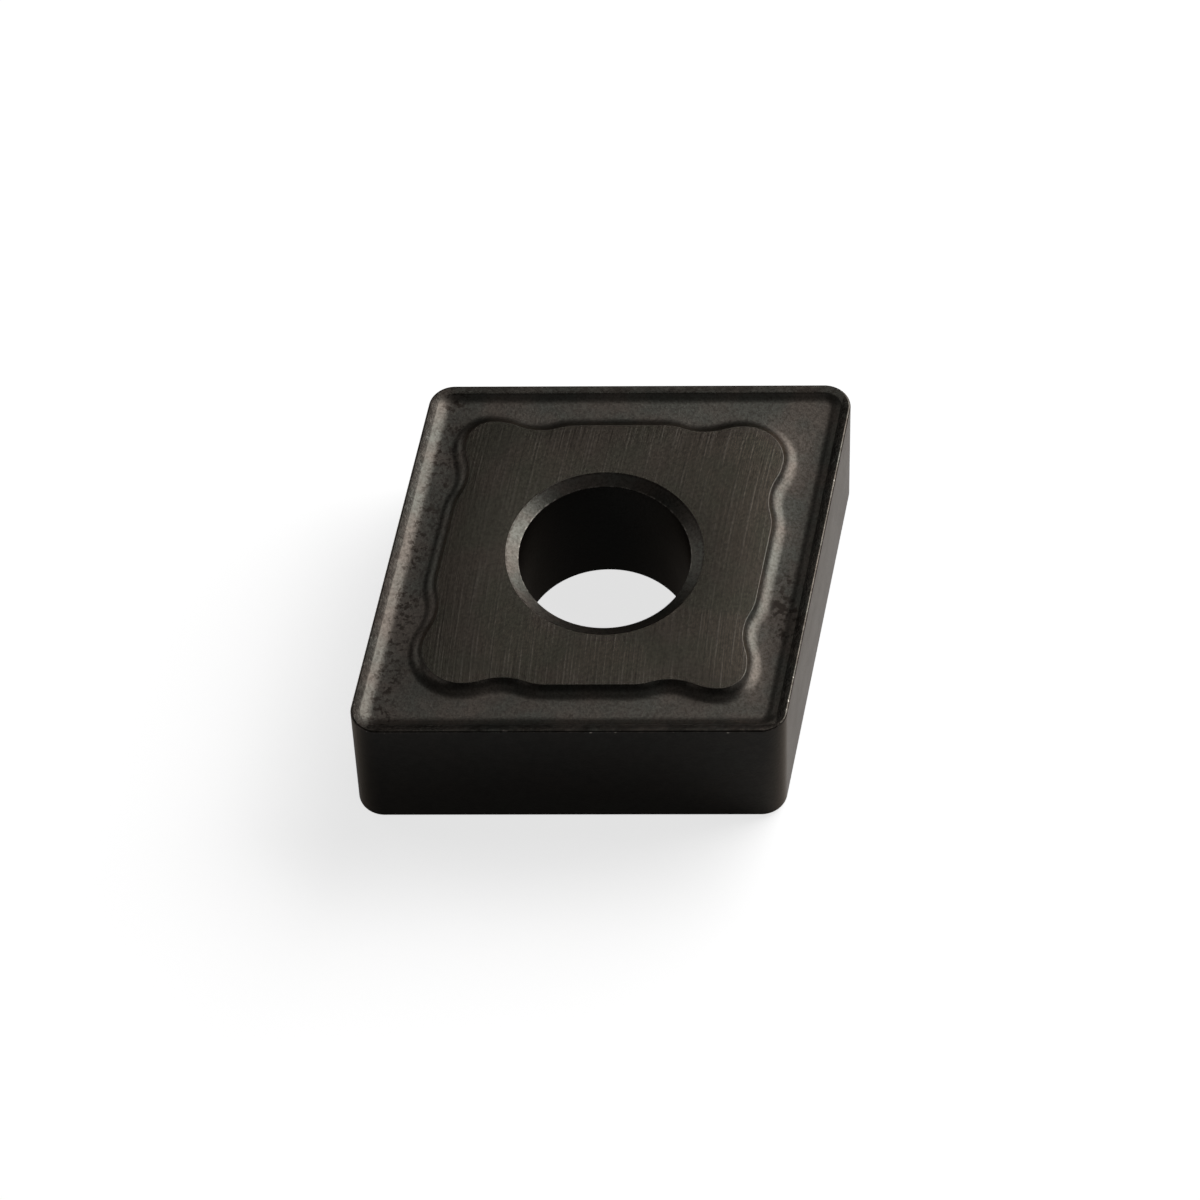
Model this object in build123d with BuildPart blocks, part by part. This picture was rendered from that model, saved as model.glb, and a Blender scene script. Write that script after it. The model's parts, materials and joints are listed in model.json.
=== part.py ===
"""Double-sided rhombic turning insert of coated cemented carbide. Sizes are in millimetres.

The insert is pressed and sintered as one solid. It lies on its lower pad with the bore upright: the origin is
the centre of the bore on that pad, +Z points up through the upper pad, and +X points to a cutting nose.
"""

import os
from math import cos, radians, sin, tan

from build123d import *

# Body
inscribed_circle = 12.70  # circle that touches all four flanks
nose_angle = 80.0  # between the two flanks that meet at a cutting nose
thickness = 4.76  # from pad to pad
nose_radius = 0.80  # round of the four upright corners
hone_radius = 0.06  # round of the cutting edge

# Bore for the clamping pin or screw
bore_diameter = 5.16
rim_diameter = 5.96  # mouth of the countersink in each pad
rim_angle = 124.0  # full angle of the countersink

# Chip former, the same on both faces
pad_rise = 0.12  # pad above the cutting edge
land_width = 0.29  # land behind the cutting edge
land_angle = 6.0  # fall of the land from the cutting edge
rake_depth = 0.125  # floor of the groove below the cutting edge
rake_angle = 22.0  # slope from the land down to the floor
crest_blend = 0.20  # round between the land and that slope
rake_blend = 0.65  # round between that slope and the floor
wall_angle = 50.0  # slope from the floor up to the edge of the pad
wall_blend = 0.56  # round between the floor and that slope

# Wavy edge of the pad: a gap is a distance in from the flank, a place is a distance along it from a corner
nose_lobe_gap = 1.66
nose_lobe_radius = 1.19
nose_waist_gap = 1.86
nose_waist_place = 4.60
nose_bend_length = 1.30  # from that waist out to the straight swell
swell_gap = 1.60
side_bend_length = 1.10  # from the straight swell in to the next waist
side_waist_gap = 1.78
side_waist_place = 3.35
side_lobe_gap = 1.45
side_lobe_radius = 0.81

# Sharp rhombus around the flanks: two noses on X, two side corners on Y
half_nose = radians(nose_angle / 2)
to_flank = inscribed_circle / 2
nose_corner = Vector(to_flank / sin(half_nose), 0)
side_corner = Vector(0, to_flank / cos(half_nose))
flank_length = (side_corner - nose_corner).length
along_flank = (side_corner - nose_corner).normalized()
into_body = Vector(-sin(half_nose), -cos(half_nose))
flank_facing = 90 - nose_angle / 2  # direction of the flank's outward normal, in degrees from X

# Levels of the upper face
middle = Plane.XY.offset(thickness / 2)
edge_level = thickness - pad_rise
crest_level = edge_level - land_width * tan(radians(land_angle))
floor_level = edge_level - rake_depth
level_tolerance = 0.001

# Foot of the cut that makes the land: a little below the crest, so that it ends in the open groove
land_overcut = 0.01
land_foot = crest_level - land_overcut
foot_inset = land_width + land_overcut / tan(radians(land_angle))

# Floor of the groove: its corners follow the nose, but stay wide enough for the round that runs along them
floor_inset = land_width + (crest_level - floor_level) / tan(radians(rake_angle))
blend_reach = rake_blend * tan(radians(rake_angle / 2))
floor_corner = max(nose_radius - floor_inset, blend_reach + hone_radius)


def from_flank(place, gap):
    """Point at a place along the flank between +X and +Y, counted from the nose, and a gap inside it."""
    return nose_corner + along_flank * place + into_body * gap


def rhombus(inset, corner):
    """Outline of the body moved in from its flanks, with its corners rounded."""
    reach = 1 - inset / to_flank
    Polygon(nose_corner * reach, side_corner * reach, nose_corner * -reach, side_corner * -reach)
    fillet(vertices(), corner)


def bend(start, end):
    """Two equal arcs that carry the pad's edge from one gap to another, along the flank at both ends."""
    midway = (start + end) / 2
    outgoing = TangentArc(start, midway, tangent=along_flank)
    TangentArc(midway, end, tangent=outgoing % 1)


def flat_ring(level):
    """The flat ring that the upper face has at a level."""
    return min(insert.faces().filter_by(Plane.XY), key=lambda flat: abs(flat.center().Z - level))


def edges_along(level):
    """The edges of the body that lie at a level from end to end."""
    return insert.edges().filter_by(
        lambda edge: all(abs((edge @ place).Z - level) < level_tolerance for place in (0, 0.5, 1))
    )


with BuildPart() as insert:
    # Half of the body, from its middle up
    with BuildSketch(middle):
        rhombus(0, nose_radius)
    extrude(amount=thickness / 2)

    # Land, cut from its foot up and out through the flanks, which leaves the cutting edge
    with BuildSketch(Plane.XY.offset(land_foot)):
        rhombus(foot_inset, nose_radius - foot_inset)
    extrude(amount=thickness - land_foot, taper=land_angle - 90, mode=Mode.SUBTRACT)

    # Groove behind the land, cut from its floor up to the level of the cutting edge
    with BuildSketch(Plane.XY.offset(floor_level)):
        rhombus(floor_inset, floor_corner)
    extrude(amount=rake_depth, taper=rake_angle - 90, mode=Mode.SUBTRACT)

    # Pad, from its wavy edge down its sloping wall to the floor
    with BuildSketch(Plane.XY.offset(thickness)):
        with BuildLine():
            nose_centre = (to_flank - nose_lobe_gap - nose_lobe_radius) / sin(half_nose)
            side_centre = (to_flank - side_lobe_gap - side_lobe_radius) / cos(half_nose)
            nose_lobe = CenterArc((nose_centre, 0), nose_lobe_radius, 0, flank_facing)
            side_lobe = CenterArc((0, side_centre), side_lobe_radius, flank_facing, 90 - flank_facing)
            nose_waist = from_flank(nose_waist_place, nose_waist_gap)
            side_waist = from_flank(flank_length - side_waist_place, side_waist_gap)
            swell_start = from_flank(nose_waist_place + nose_bend_length, swell_gap)
            swell_end = from_flank(flank_length - side_waist_place - side_bend_length, swell_gap)
            bend(nose_lobe @ 1, nose_waist)
            bend(nose_waist, swell_start)
            Line(swell_start, swell_end)
            bend(swell_end, side_waist)
            bend(side_waist, side_lobe @ 0)
            mirror(about=Plane.XZ)
            mirror(about=Plane.YZ)
        make_face()
    extrude(amount=floor_level - thickness, taper=wall_angle - 90)

    # Rounds that the press leaves along the groove, and the hone of the cutting edge
    fillet(flat_ring(floor_level).inner_wires().edges(), wall_blend)
    fillet(flat_ring(floor_level).outer_wire().edges(), rake_blend)
    fillet(edges_along(crest_level), crest_blend)
    fillet(edges_along(edge_level), hone_radius)

    # Bore with its countersunk mouth
    with Locations((0, 0, thickness)):
        CounterSinkHole(bore_diameter / 2, rim_diameter / 2, thickness / 2, rim_angle)

    # Lower half, the same upside down
    mirror(about=middle)

insert.part.label = "carbide_insert"
os.makedirs("parts", exist_ok=True)
export_step(insert.part, "parts/carbide_insert.step")
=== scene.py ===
import json
from math import asin, ceil, copysign, cos, pi, radians, sin, tan

import bmesh
import bpy
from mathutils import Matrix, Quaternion, Vector

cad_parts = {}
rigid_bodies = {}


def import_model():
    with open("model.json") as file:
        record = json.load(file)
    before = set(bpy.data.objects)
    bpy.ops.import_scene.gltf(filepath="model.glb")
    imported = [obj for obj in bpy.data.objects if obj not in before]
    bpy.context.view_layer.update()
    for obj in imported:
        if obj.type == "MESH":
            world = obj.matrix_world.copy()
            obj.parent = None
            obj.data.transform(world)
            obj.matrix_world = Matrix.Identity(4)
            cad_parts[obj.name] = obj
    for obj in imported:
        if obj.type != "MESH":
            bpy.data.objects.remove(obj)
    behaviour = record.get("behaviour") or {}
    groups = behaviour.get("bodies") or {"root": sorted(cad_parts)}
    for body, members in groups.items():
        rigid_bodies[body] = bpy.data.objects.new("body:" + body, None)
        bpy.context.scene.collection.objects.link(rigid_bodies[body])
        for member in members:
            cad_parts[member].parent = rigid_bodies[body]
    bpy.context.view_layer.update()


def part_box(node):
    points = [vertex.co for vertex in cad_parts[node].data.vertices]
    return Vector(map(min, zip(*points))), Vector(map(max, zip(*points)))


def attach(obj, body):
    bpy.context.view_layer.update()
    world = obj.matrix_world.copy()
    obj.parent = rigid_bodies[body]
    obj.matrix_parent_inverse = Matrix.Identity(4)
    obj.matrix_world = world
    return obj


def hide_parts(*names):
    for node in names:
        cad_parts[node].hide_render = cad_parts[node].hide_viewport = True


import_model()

# Carbide insert: hard metal powder, pressed in a die to this shape and sintered in one piece.
# Its two pads are ground flat, its cutting edges are honed to a small round, and a dark coat
# covers it all. The lower half repeats the upper one, so that one is drawn and then mirrored.
mm = 0.001
lowest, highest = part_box("carbide_insert")
half_thickness = (highest.z - lowest.z) / 2
inscribed_circle = 12.70 * mm
nose_angle = radians(80)
nose_radius = 0.80 * mm
half_nose = nose_angle / 2
to_flank = inscribed_circle / 2
nose_corner = Vector((to_flank / sin(half_nose), 0))
side_corner = Vector((0, to_flank / cos(half_nose)))
flank_length = (side_corner - nose_corner).length
along_flank = (side_corner - nose_corner).normalized()
into_body = Vector((-sin(half_nose), -cos(half_nose)))
flank_facing = radians(90) - half_nose
outline_turn = radians(2.5)  # between neighbouring points of a round in the outline
section_turn = radians(6)  # between neighbouring points of a round in the section
run_points = 74  # on a flank: with it the outline has as many points as the edge of the pad
level_tolerance = 1e-7
seam_tolerance = 1e-8


def drop_point(x, z):
    """Adds one point of an outline, on the X axis."""
    bpy.ops.mesh.primitive_plane_add(size=mm)
    bpy.ops.mesh.merge(type="CENTER")
    bpy.ops.transform.translate(value=(x, 0, z))


def turn_about(centre, angle):
    """Draws the outline on round a centre, counter-clockwise where the angle is positive."""
    steps = max(1, round(abs(angle) / outline_turn))
    centre = (centre[0], centre[1], 0)
    bpy.ops.mesh.spin(steps=steps, angle=angle, center=centre, axis=(0, 0, -1))


def run_along(length, count):
    """Draws the outline on along the flank."""
    step = along_flank * (length / count)
    for _ in range(count):
        bpy.ops.mesh.extrude_region_move(TRANSFORM_OT_translate={"value": (step.x, step.y, 0)})


def fill_outline():
    """Mirrors a quarter outline about both diagonals and fills it with a face that looks up."""
    for direction in ("POSITIVE_X", "POSITIVE_Y"):
        bpy.ops.mesh.select_linked()
        bpy.ops.mesh.symmetrize(direction=direction, threshold=seam_tolerance)
    bpy.ops.mesh.select_linked()
    bpy.ops.mesh.edge_face_add()
    faces = bmesh.from_edit_mesh(insert.data).faces
    if any(face.select and face.normal.z < 0 for face in faces):
        bpy.ops.mesh.flip_normals()


def step_in(width, rise):
    """Insets the face that is selected and raises it."""
    bpy.ops.mesh.inset(thickness=width, depth=rise)


def blend_size(radius, slope, new_slope):
    """Width and rise of a round in the section, which turns from one slope to another."""
    reach = copysign(radius, new_slope - slope)
    return reach * (sin(new_slope) - sin(slope)), reach * (cos(slope) - cos(new_slope))


def curve_in(radius, slope, new_slope):
    """Insets the face that is selected along a round of the section."""
    steps = ceil(abs(new_slope - slope) / section_turn)
    turn = (new_slope - slope) / steps
    for step in range(steps):
        step_in(*blend_size(radius, slope + turn * step, slope + turn * (step + 1)))


def select_open_edges(level):
    """Selects the open edges of the mesh that lie at a level."""
    bpy.ops.mesh.select_all(action="DESELECT")
    for edge in bmesh.from_edit_mesh(insert.data).edges:
        if edge.is_boundary and all(abs(end.co.z - level) < level_tolerance for end in edge.verts):
            edge.select_set(True)


bpy.ops.object.select_all(action="DESELECT")
bpy.ops.mesh.primitive_plane_add(size=mm)
insert = bpy.context.object
insert.name = "coated_insert"
bpy.ops.object.mode_set(mode="EDIT")
bpy.ops.mesh.select_mode(type="VERT")
bpy.ops.mesh.select_all(action="SELECT")
bpy.ops.mesh.delete(type="VERT")

# Flank, honed edge, land behind it, and rake slope down to the floor of the pressed groove
pad_rise = 0.12 * mm  # pad above the cutting edge
hone_radius = 0.06 * mm
land_width = 0.29 * mm
land_slope = radians(-6)
rake_depth = 0.125 * mm
rake_slope = radians(-22)
crest_blend = 0.20 * mm
rake_blend = 0.65 * mm
edge_height = half_thickness - pad_rise
floor_height = edge_height - rake_depth
hone_width, hone_rise = blend_size(hone_radius, radians(90), land_slope)
crest_width, crest_rise = blend_size(crest_blend, land_slope, rake_slope)
_, foot_rise = blend_size(rake_blend, rake_slope, 0)
land_run = land_width - hone_width - crest_width / 2
slope_rise = -rake_depth - land_run * tan(land_slope) - crest_rise - foot_rise
corner_reach = nose_radius / tan(half_nose) + nose_radius * tan(half_nose)
flank_top = edge_height - hone_rise
nose_round = nose_corner.x - nose_radius / sin(half_nose)
side_round = side_corner.y - nose_radius / cos(half_nose)
drop_point(nose_round + nose_radius, flank_top)
turn_about((nose_round, 0), flank_facing)
run_along(flank_length - corner_reach, run_points)
turn_about((0, side_round), half_nose)
fill_outline()
curve_in(hone_radius, radians(90), land_slope)
step_in(land_run, land_run * tan(land_slope))
curve_in(crest_blend, land_slope, rake_slope)
step_in(slope_rise / tan(rake_slope), slope_rise)
curve_in(rake_blend, rake_slope, 0)
bpy.ops.mesh.delete(type="ONLY_FACE")
select_open_edges(flank_top)
bpy.ops.mesh.extrude_edges_move(TRANSFORM_OT_translate={"value": (0, 0, -flank_top)})

# Pad: its wavy edge is a lobe at each corner, a straight swell on each side, and a waist between
nose_lobe_gap = 1.66 * mm
nose_lobe_radius = 1.19 * mm
nose_waist_gap = 1.86 * mm
nose_waist_place = 4.60 * mm
nose_bend_length = 1.30 * mm
swell_gap = 1.60 * mm
side_bend_length = 1.10 * mm
side_waist_gap = 1.78 * mm
side_waist_place = 3.35 * mm
side_lobe_gap = 1.45 * mm
side_lobe_radius = 0.81 * mm
pad_blend = 0.03 * mm  # left on the pad's edge by its grinding
wall_slope = radians(50)
wall_blend = 0.56 * mm
swell_points = 6


def from_flank(place, gap):
    """Point at a place along the flank, counted from the nose, and a gap inside it."""
    return nose_corner + along_flank * place + into_body * gap


def bend(start, end):
    """Two equal arcs from one gap to another, along the flank at both ends."""
    along = (end - start).dot(along_flank)
    inward = (end - start).dot(into_body)
    radius = copysign((along**2 + inward**2) / (4 * abs(inward)), inward)
    angle = asin(along / (2 * radius))
    turn_about(start + into_body * radius, angle)
    turn_about(end - into_body * radius, -angle)


wall_width, wall_rise = blend_size(wall_blend, 0, wall_slope)
edge_width, edge_rise = blend_size(pad_blend, wall_slope, 0)
ramp_rise = half_thickness - floor_height - wall_rise - edge_rise
foot_gap = wall_width + ramp_rise / tan(wall_slope) + edge_width / 2
nose_lobe = Vector(((to_flank - nose_lobe_gap - nose_lobe_radius) / sin(half_nose), 0))
side_lobe = Vector((0, (to_flank - side_lobe_gap - side_lobe_radius) / cos(half_nose)))
nose_waist = from_flank(nose_waist_place, nose_waist_gap)
side_waist = from_flank(flank_length - side_waist_place, side_waist_gap)
swell_start = from_flank(nose_waist_place + nose_bend_length, swell_gap)
swell_end = from_flank(flank_length - side_waist_place - side_bend_length, swell_gap)
drop_point(nose_lobe.x + nose_lobe_radius + foot_gap, floor_height)
turn_about(nose_lobe, flank_facing)
bend(nose_lobe - into_body * nose_lobe_radius, nose_waist)
bend(nose_waist, swell_start)
run_along((swell_end - swell_start).length, swell_points)
bend(swell_end, side_waist)
bend(side_waist, side_lobe - into_body * side_lobe_radius)
turn_about(side_lobe, half_nose)
bpy.ops.mesh.select_linked()
quarter_points = sum(point.select for point in bmesh.from_edit_mesh(insert.data).verts) - 1
fill_outline()
curve_in(wall_blend, 0, wall_slope)
step_in(ramp_rise / tan(wall_slope), ramp_rise)
curve_in(pad_blend, wall_slope, 0)
bpy.ops.mesh.delete(type="ONLY_FACE")

# Bore with its countersunk mouth
bore_radius = 2.58 * mm
rim_radius = 2.98 * mm
rim_slope = radians(-28)
rim_blend = 0.02 * mm
lip_blend = 0.03 * mm
bpy.ops.mesh.primitive_circle_add(
    vertices=4 * quarter_points,
    radius=rim_radius,
    fill_type="NGON",
    location=(0, 0, half_thickness),
)
curve_in(rim_blend, 0, rim_slope)
lip_width, lip_rise = blend_size(lip_blend, rim_slope, radians(-90))
rim_width, rim_rise = blend_size(rim_blend, 0, rim_slope)
sink_width = rim_radius - rim_width - bore_radius - lip_width
step_in(sink_width, sink_width * tan(rim_slope))
curve_in(lip_blend, rim_slope, radians(-90))
wall_height = half_thickness + rim_rise + sink_width * tan(rim_slope) + lip_rise
bpy.ops.mesh.extrude_region_move(TRANSFORM_OT_translate={"value": (0, 0, -wall_height)})
bpy.ops.mesh.delete(type="ONLY_FACE")

# The rings are bridged into one skin, and the lower half is mirrored from it
crease_angle = radians(40)
for level in (floor_height, half_thickness):
    select_open_edges(level)
    bpy.ops.mesh.bridge_edge_loops()
bpy.ops.mesh.select_all(action="SELECT")
bpy.ops.mesh.normals_make_consistent(inside=False)
bpy.ops.object.mode_set(mode="OBJECT")
mirror = insert.modifiers.new("lower_half", "MIRROR")
mirror.use_axis = (False, False, True)
mirror.merge_threshold = level_tolerance
bpy.ops.object.modifier_apply(modifier=mirror.name)
bpy.ops.object.mode_set(mode="EDIT")
bpy.ops.mesh.select_all(action="SELECT")
bpy.ops.transform.translate(value=(0, 0, half_thickness))
bpy.ops.mesh.normals_make_consistent(inside=False)
bpy.ops.object.mode_set(mode="OBJECT")
bpy.ops.object.shade_smooth_by_angle(angle=crease_angle)
weighted = insert.modifiers.new("flats", "WEIGHTED_NORMAL")
weighted.keep_sharp = True
bpy.ops.object.modifier_apply(modifier=weighted.name)


class Socket:
    """A shader socket that Python's operators join to Math nodes."""

    def __init__(self, nodes, link):
        self.nodes, self.link = nodes, link

    def maths(self, operation, *others):
        return self.nodes.maths(operation, self, *others)

    def __add__(self, other):
        return self.maths("ADD", other)

    def __mul__(self, other):
        return self.maths("MULTIPLY", other)

    def __sub__(self, other):
        return self.maths("SUBTRACT", other)

    def __rsub__(self, other):
        return self.nodes.maths("SUBTRACT", other, self)

    __radd__, __rmul__ = __add__, __mul__


class Nodes:
    """The node tree of a material or of the world."""

    def __init__(self, block):
        self.block = block
        block.use_nodes = True
        self.tree = block.node_tree
        self.tree.nodes.clear()

    def add(self, kind, settings=None, inputs=None):
        """Adds a node, sets it, fills or links its sockets, and returns its outputs by name."""
        node = self.tree.nodes.new(kind)
        for name, value in (settings or {}).items():
            setattr(node, name, value)
        for name, value in (inputs or {}).items():
            if isinstance(value, Socket):
                self.tree.links.new(value.link, node.inputs[name])
            else:
                node.inputs[name].default_value = value
        return {output.name: Socket(self, output) for output in node.outputs if output.enabled}

    def maths(self, operation, *values):
        """Joins values in a Math node."""
        inputs = dict(enumerate(values))
        return self.add("ShaderNodeMath", {"operation": operation}, inputs)["Value"]

    def place(self):
        """The place on the object, in millimetres."""
        on_object = self.add("ShaderNodeTexCoord")["Object"]
        inputs = {"Vector": on_object, "Scale": (1 / mm, 1 / mm, 1 / mm)}
        return self.add("ShaderNodeMapping", None, inputs)["Vector"]

    def length(self, x, y):
        """Length of a flat vector."""
        flat = self.add("ShaderNodeCombineXYZ", None, {"X": x, "Y": y})["Vector"]
        return self.add("ShaderNodeVectorMath", {"operation": "LENGTH"}, {0: flat})["Value"]

    def noise(self, place, scale, detail, roughness):
        """Noise between 0 and 1, with spots of about 1 / scale."""
        inputs = {"Vector": place, "Scale": scale, "Detail": detail, "Roughness": roughness}
        return self.add("ShaderNodeTexNoise", None, inputs)["Fac"]

    def between(self, value, low, high, new_low=0, new_high=1):
        """Maps a range of a value onto another range and stays inside it."""
        new_range = {"To Min": new_low, "To Max": new_high}
        inputs = {"Value": value, "From Min": low, "From Max": high, **new_range}
        return self.add("ShaderNodeMapRange", {"clamp": True}, inputs)["Result"]

    def blend(self, factor, first, second):
        """Mixes two colours."""
        inputs = {"Factor": factor, 6: first, 7: second}
        return self.add("ShaderNodeMix", {"data_type": "RGBA"}, inputs)["Result"]

    def coat(self, colour, roughness, height, relief):
        """Ends a material in a dark metallic coat with a fine relief."""
        bump = {"Height": height, "Strength": 1.0, "Distance": relief}
        inputs = {
            "Base Color": colour,
            "Metallic": 1.0,
            "Roughness": roughness,
            "Specular Tint": edge_tint,
            "Normal": self.add("ShaderNodeBump", None, bump)["Normal"],
        }
        surface = self.add("ShaderNodeBsdfPrincipled", None, inputs)["BSDF"]
        self.add("ShaderNodeOutputMaterial", None, {"Surface": surface})


edge_tint = (1.0, 0.91, 0.83, 1)
dark_colour = (0.055, 0.045, 0.038, 1)

# Coat as pressed: fine grain, brown and green clouds, and a smoother land. Stains with dark specks
# lie along the left flank and in a spot by the right one, and a few chips of the edges are bare.
# Painted light in this coat: painted shade on upright faces, a painted shade line along the rim of
# the bore's mouth, and a painted highlight on the bore's lip.
pressed = Nodes(bpy.data.materials.new("pressed_coat"))
pressed_brown = (0.172, 0.148, 0.127, 1)
pressed_green = (0.153, 0.151, 0.132, 1)
stain_colour = (0.100, 0.086, 0.077, 1)
# Painted shade: upright faces, the flanks and the bore's wall, are drawn near black
shaded_flank_colour = (0.019, 0.021, 0.022, 1)
# Pale colour of bare chips, and of the painted highlight on the bore's lip
chip_and_highlight_colour = (0.40, 0.37, 0.33, 1)
pressed_roughness = 0.36
land_polish = 0.18  # how much less rough the land is
pressed_relief = 0.0042 * mm

# Bands in millimetres: a mask comes on from the first value to the second
land_band = (0.33, 0.24)  # in from the flank
stain_band = (1.6, 1.0)  # in from the left flank
worn_band = (0.35, 0.6)  # in from the left flank, where the stains are weaker
worn_stain = 0.35
spot_right, spot_back = 5.4, -1.85  # centre of the spot, from the bore
spot_narrow, spot_long = 1.8, 0.5  # its shape, by scale
spot_band = (1.1, 0.6)  # out from its centre, in that scale
chip_band = (0.12, 0.05)  # in from the flank
chip_drop = (0.10, 0.04)  # below the cutting edge
rim_shade_inset = 0.02  # from the rim of the bore's mouth in to the middle of its painted shade line
rim_shade_band = (0.05, 0.01)  # from there to both sides
lip_highlight_band = (0.05, 0.02)  # out from the bore, for the painted highlight on its lip

# Limits in the same order, of noise that lies mostly between 0.35 and 0.65, and of the upright
# share of the direction that the surface faces
cloud_limits = (0.38, 0.62)
grain_limits = (0.42, 0.62)
stain_limits = (0.38, 0.52)
speck_limits = (0.60, 0.66)
spot_limits = (0.50, 0.56)
mottle_limits = (0.44, 0.60)
nick_limits = (0.71, 0.75)
rim_shade_limits = (0.40, 0.55)
lip_highlight_limits = (0.48, 0.58)
flank_shade_limits = (0.6, 0.2)
chamfer_limits = (0.1, 0.3)
thin_stain = 0.4  # how strong the stains are at least

place = pressed.place()
normal = pressed.add("ShaderNodeTexCoord")["Normal"]
facing = pressed.add("ShaderNodeSeparateXYZ", None, {"Vector": normal})["Z"].maths("ABSOLUTE")
axes = pressed.add("ShaderNodeSeparateXYZ", None, {"Vector": place})
outward = axes["X"].maths("ABSOLUTE") * sin(half_nose)
outward = outward + axes["Y"].maths("ABSOLUTE") * cos(half_nose)
edge_gap = to_flank / mm - outward
left_gap = to_flank / mm + axes["X"] * sin(half_nose) - axes["Y"] * cos(half_nose)
edge_drop = (axes["Z"] - half_thickness / mm).maths("ABSOLUTE") * -1 + edge_height / mm
from_middle = pressed.length(axes["X"], axes["Y"])
spot_x = (axes["X"] * cos(half_nose) - axes["Y"] * sin(half_nose) - spot_right) * spot_narrow
spot_y = (axes["X"] * sin(half_nose) + axes["Y"] * cos(half_nose) - spot_back) * spot_long
spot = pressed.between(pressed.length(spot_x, spot_y), *spot_band)
grain = pressed.noise(place, scale=11, detail=3, roughness=0.75)
cloud = pressed.noise(place, scale=0.8, detail=3, roughness=0.55)
blotch = pressed.noise(place, scale=6.5, detail=3, roughness=0.65)
wide_blotch = pressed.noise(place, scale=3.6, detail=3, roughness=0.6)
nick = pressed.noise(place, scale=7, detail=1, roughness=0.5)
land = pressed.between(edge_gap, *land_band)
# Mask of the painted shade on upright faces
upright_shade = pressed.between(facing, *flank_shade_limits)
beside = pressed.between(left_gap, *stain_band)
beside = beside * pressed.between(left_gap, *worn_band, worn_stain, 1)
stained = pressed.between(cloud, *stain_limits, thin_stain, 1) * beside.maths("MAXIMUM", spot)
speck = pressed.between(blotch + beside * 0.08, *speck_limits)
speck = speck.maths("MAXIMUM", pressed.between(wide_blotch, *spot_limits) * spot)
at_edge = pressed.between(edge_gap, *chip_band) * pressed.between(edge_drop, *chip_drop)
chip = pressed.between(nick, *nick_limits) * at_edge
from_rim = (from_middle - (rim_radius / mm - rim_shade_inset)).maths("ABSOLUTE")
# Painted shade: a ragged dark line along the rim of the bore's mouth
rim_shade_line = pressed.between(from_rim, *rim_shade_band) * pressed.between(blotch, *rim_shade_limits)
# Painted highlight: a ragged bright line on the steep round of the bore's lip
lip_highlight = pressed.between(from_middle - bore_radius / mm, *lip_highlight_band)
lip_highlight = lip_highlight * pressed.between(facing, *chamfer_limits) * pressed.between(blotch, *lip_highlight_limits)
grainy = pressed.between(grain, *grain_limits) * 0.52 + land * 0.06
mottled = pressed.between(wide_blotch, *mottle_limits) * land
colour = pressed.blend(pressed.between(cloud, *cloud_limits), pressed_green, pressed_brown)
colour = pressed.blend(stained * 0.15, colour, stain_colour)
colour = pressed.blend(grainy, colour, dark_colour)
colour = pressed.blend(speck * (stained * 0.75 + 0.25), colour, dark_colour)
colour = pressed.blend(mottled * 0.55, colour, dark_colour)
# Painted shade: upright faces are blended almost wholly to a near-black colour
colour = pressed.blend(upright_shade * 0.90, colour, shaded_flank_colour)
# Painted shade line at the rim of the bore's mouth
colour = pressed.blend(rim_shade_line * 0.7, colour, dark_colour)
# Bare chips on the edges, and the painted highlight on the bore's lip
colour = pressed.blend(chip + lip_highlight * 0.7, colour, chip_and_highlight_colour)
uneven = (cloud - 0.5) * 0.12 + (grain - 0.5) * 0.10
roughness = pressed_roughness - land * land_polish + uneven
pressed.coat(colour, roughness, grain + blotch * 0.8, pressed_relief)

# Coat on the ground pads: the face of a wide wheel leaves fine streaks in long arcs, clearest
# towards the pad's ends. Patterns are drawn out along the arcs and are narrow across them.
ground = Nodes(bpy.data.materials.new("ground_coat"))
ground_brown = (0.127, 0.108, 0.088, 1)
ground_green = (0.116, 0.108, 0.085, 1)
bright_colour = (0.30, 0.27, 0.235, 1)
ground_roughness = 0.24
ground_relief = 0.0036 * mm
arc_radius = 64.0  # in millimetres
arc_turn = radians(42)
arc_centre = (arc_radius * sin(arc_turn), -arc_radius * cos(arc_turn), 0)
arc_middle = (cos(arc_turn), sin(arc_turn), 0)  # direction of the streaks in the middle
end_band = (0.5, 3.0)  # from the middle towards the pad's ends, in millimetres
middle_streaks = 0.5  # how strong the streaks are at least, in the middle
patchy_streaks = 0.6  # how strong they are at least, in a cloud
patch_limits = (0.35, 0.50)
cloud_limits = (0.40, 0.60)
bright_limits = (0.57, 0.68)
dull_limits = (0.44, 0.32)
grain_limits = (0.44, 0.62)
place = ground.place()
away = ground.add("ShaderNodeVectorMath", {"operation": "DISTANCE"}, {0: place, 1: arc_centre})
along = ground.add("ShaderNodeVectorMath", {"operation": "DOT_PRODUCT"}, {0: place, 1: arc_middle})
away, along = away["Value"], along["Value"]
fine_lay = ground.add("ShaderNodeCombineXYZ", None, {"X": along * 0.30, "Y": away * 18})["Vector"]
wide_lay = ground.add("ShaderNodeCombineXYZ", None, {"X": along * 0.15, "Y": away * 4})["Vector"]
streak = ground.noise(fine_lay, scale=1, detail=2, roughness=0.5)
band = ground.noise(wide_lay, scale=1, detail=3, roughness=0.6)
cloud = ground.noise(place, scale=0.7, detail=3, roughness=0.5)
grain = ground.noise(place, scale=9, detail=3, roughness=0.7)
patch = ground.between(along.maths("ABSOLUTE"), *end_band, middle_streaks, 1)
patch = patch * ground.between(cloud, *patch_limits, patchy_streaks, 1)
bright = ground.between(streak, *bright_limits) * patch
dull = ground.between(streak, *dull_limits) * patch
grainy = ground.between(grain, *grain_limits) * 0.45
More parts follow.
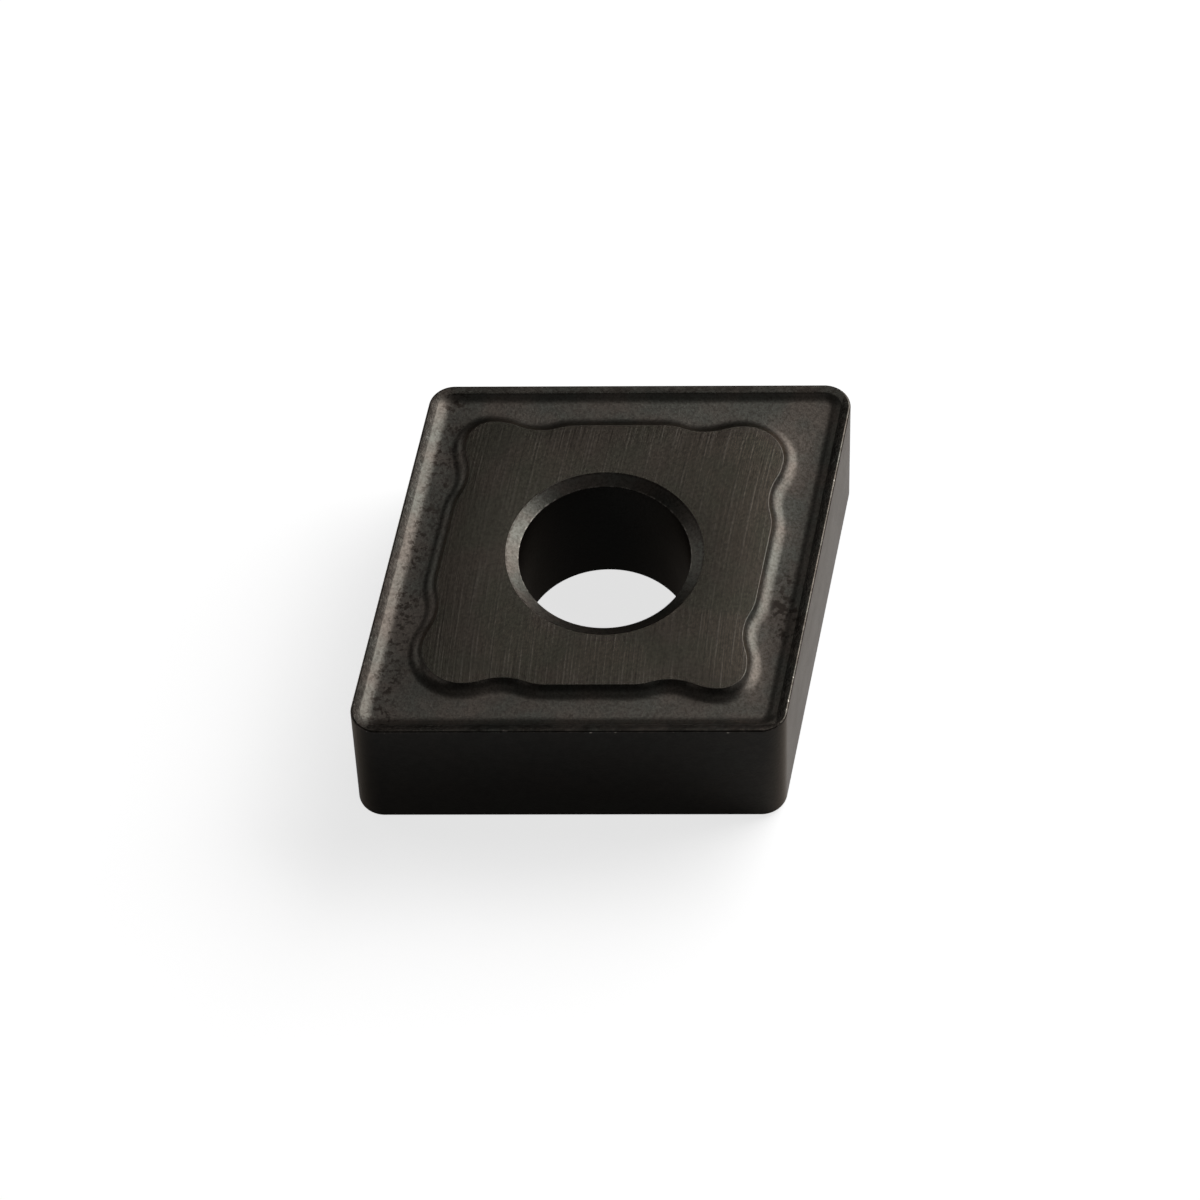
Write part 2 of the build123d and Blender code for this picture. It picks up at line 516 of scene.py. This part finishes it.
colour = ground.blend(ground.between(cloud, *cloud_limits), ground_green, ground_brown)
colour = ground.blend(bright * 0.42, colour, bright_colour)
colour = ground.blend(dull * 0.28 + grainy, colour, dark_colour)
roughness = ground_roughness + (cloud - 0.5) * 0.08 + (band - 0.5) * 0.06
ground.coat(colour, roughness, streak * patch * 0.75 + band * 0.2 + grain * 0.9, ground_relief)

level_normal = 0.9999
pad_depth = 0.001 * mm
for finish in (pressed, ground):
    insert.data.materials.append(finish.block)
for face in insert.data.polygons:
    depth = min(face.center.z, 2 * half_thickness - face.center.z)
    face.material_index = int(abs(face.normal.z) > level_normal and depth < pad_depth)

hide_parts("carbide_insert")
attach(insert, "root")

# Studio: pale paper under the insert, plain air around it, soft boxes and the camera. The camera
# sees paper and air as white, and the dark coat mirrors a small share of that white.
floor_size = 2.0
floor_drop = 0.01 * mm  # keeps the paper out of the plane of the lower pad
white_seen = (1, 1, 1, 1)
paper_colour = (0.9, 0.9, 0.9, 1)
paper_glow = 0.74  # what the lit paper lacks to be seen as white
air_light = 0.005
floor_mirrored = 0.078
backdrop_mirrored = 0.01
bpy.ops.object.select_all(action="DESELECT")
bpy.ops.mesh.primitive_plane_add(size=floor_size, location=(0, 0, -floor_drop))
floor = bpy.context.object
floor.name = "studio_floor"


def share_seen(nodes, mirrored):
    """How much of the white a ray sees: all of it straight on or through glass, less mirrored."""
    ray = nodes.add("ShaderNodeLightPath")
    return ray["Is Camera Ray"] + ray["Is Transmission Ray"] + ray["Is Glossy Ray"] * mirrored


paper = Nodes(bpy.data.materials.new("pale_paper"))
floor.data.materials.append(paper.block)
card = paper.add("ShaderNodeBsdfDiffuse", None, {"Color": paper_colour})["BSDF"]
emission = {"Color": white_seen, "Strength": paper_glow}
glow = paper.add("ShaderNodeEmission", None, emission)["Emission"]
lit = paper.add("ShaderNodeAddShader", None, {0: card, 1: glow})["Shader"]
shares = {0: share_seen(paper, floor_mirrored), 1: card, 2: lit}
view = paper.add("ShaderNodeMixShader", None, shares)["Shader"]
paper.add("ShaderNodeOutputMaterial", None, {"Surface": view})

air = Nodes(bpy.data.worlds.new("studio_air"))
bpy.context.scene.world = air.block
dim, plain = (
    air.add("ShaderNodeBackground", None, {"Color": white_seen, "Strength": strength})["Background"]
    for strength in (air_light, 1.0)
)
shares = {0: share_seen(air, backdrop_mirrored), 1: dim, 2: plain}
view = air.add("ShaderNodeMixShader", None, shares)["Shader"]
air.add("ShaderNodeOutputWorld", None, {"Surface": view})

# Soft boxes by name, azimuth from +X towards +Y, elevation, width, height and radiance. The angles
# are in degrees and as seen from the insert.
middle = Vector((0, 0, half_thickness))
lamp_distance = 0.5
soft_boxes = (
    ("key_box", 2, 40, 51, 38, 2.5),
    ("top_box", 41, 60, 24, 18, 0.32),
    ("back_box", 104, 24, 38, 24, 0.40),
    ("front_box", 225, 66, 40, 16, 0.09),
    ("left_box", 164, 17, 56, 14, 0.32),
    ("right_box", 292, 17, 76, 14, 0.32),
)
for name, *angles, radiance in soft_boxes:
    azimuth, elevation, width, height = map(radians, angles)
    reach = cos(elevation)
    out = Vector((cos(azimuth) * reach, sin(azimuth) * reach, sin(elevation)))
    bpy.ops.object.light_add(type="AREA", location=middle + out * lamp_distance)
    lamp = bpy.context.object
    lamp.name = name
    lamp.visible_camera = False
    lamp.rotation_euler = out.to_track_quat("Z", "Y").to_euler()
    lamp.data.shape = "RECTANGLE"
    lamp.data.size = 2 * lamp_distance * tan(width / 2)
    lamp.data.size_y = 2 * lamp_distance * tan(height / 2)
    lamp.data.energy = radiance * pi * lamp.data.size * lamp.data.size_y

camera_place = Vector((-60.9931, -80.3301, 147.2269)) * mm
camera_aim = Vector((-0.1946, 0.0751, 2.38)) * mm
camera_roll = radians(2.5286)
bpy.ops.object.camera_add(location=camera_place)
camera = bpy.context.object
look = (camera_aim - camera_place).to_track_quat("-Z", "Y")
camera.rotation_euler = (look @ Quaternion((0, 0, 1), -camera_roll)).to_euler()
camera.data.sensor_width = 36
camera.data.lens = 175
camera.data.clip_start = 0.01
bpy.context.scene.camera = camera
bpy.context.scene.view_settings.view_transform = "Standard"
